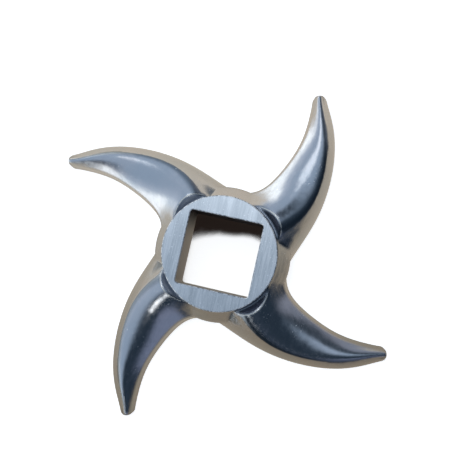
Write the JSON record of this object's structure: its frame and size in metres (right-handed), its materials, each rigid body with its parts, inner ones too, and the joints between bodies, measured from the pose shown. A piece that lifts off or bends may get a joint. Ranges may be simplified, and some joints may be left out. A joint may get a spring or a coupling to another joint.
{
  "type": "meat grinder knife",
  "caption": "One-piece polished stainless grinder knife: sickle-shaped domed blades sweep from a round hub with a square drive bore; flat cutting face beneath.",
  "frame": {"origin": "centre of the square bore on the axis of rotation, in the plane of the flat cutting face (the lowest plane of the part)", "axes": "+Z along the axis of rotation toward the hub's ground back face and the domed blade backs; the flats of the square bore face +X, -X, +Y and -Y"},
  "size_m": [0.0898, 0.0898, 0.0135],
  "materials": {
    "polished_stainless": "mirror-polished cast stainless blades, fine-ground hub back face and cutting face"
  },
  "bodies": {
    "root": {"knife": "polished_stainless"}
  },
  "joints": []
}
